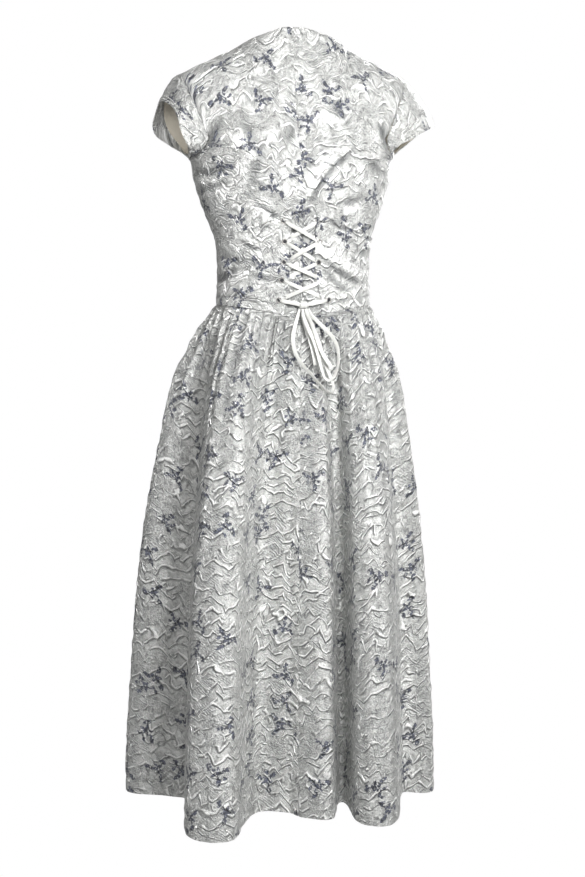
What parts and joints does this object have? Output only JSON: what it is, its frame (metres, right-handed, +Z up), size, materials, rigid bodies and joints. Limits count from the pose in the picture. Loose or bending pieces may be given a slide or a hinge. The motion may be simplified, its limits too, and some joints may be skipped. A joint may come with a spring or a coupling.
{
  "type": "a-line midi dress with laced back",
  "caption": "Hollow midi dress with cap sleeves, a fitted bodice, laced waist panels on the back and a full gathered skirt that hangs in deep folds.",
  "frame": {"origin": "midway between the two shoulder seams, where a wearer or a hanger holds the dress up; the hem is 1.113 m below it", "axes": "+Z is up the dress; +X is the wearer's left; the front faces -Y and the laced back faces +Y"},
  "size_m": [0.4755, 0.4249, 1.1588],
  "materials": {
    "cloque": "crinkled silver white jacquard with a satin lustre and scattered slate blue flower sprigs",
    "lining": "plain beige lining",
    "lace": "ivory satin ribbon",
    "zip": "woven off-white zip tape",
    "eyelet": "dark metal ring"
  },
  "bodies": {
    "root": {"bodice_front": "cloque", "bodice_back_left": "cloque", "bodice_back_right": "cloque", "sleeve_left": "cloque", "sleeve_right": "cloque", "sleeve_lining_left": "lining", "sleeve_lining_right": "lining", "corselet_back_left": "cloque", "corselet_back_right": "cloque", "skirt_front": "cloque", "skirt_back_left": "cloque", "skirt_back_right": "cloque", "back_zip": "zip", "eyelet_left_1": "eyelet", "eyelet_left_2": "eyelet", "eyelet_left_3": "eyelet", "eyelet_left_4": "eyelet", "eyelet_left_5": "eyelet", "eyelet_right_1": "eyelet", "eyelet_right_2": "eyelet", "eyelet_right_3": "eyelet", "eyelet_right_4": "eyelet", "eyelet_right_5": "eyelet", "lace_cross_left_1": "lace", "lace_cross_left_2": "lace", "lace_cross_left_3": "lace", "lace_cross_left_4": "lace", "lace_cross_right_1": "lace", "lace_cross_right_2": "lace", "lace_cross_right_3": "lace", "lace_cross_right_4": "lace", "lace_end_left": "lace", "lace_end_right": "lace", "bow_knot": "lace", "bow_loop_left": "lace", "bow_loop_right": "lace", "lace_tail_left": "lace", "lace_tail_right": "lace"}
  },
  "joints": []
}
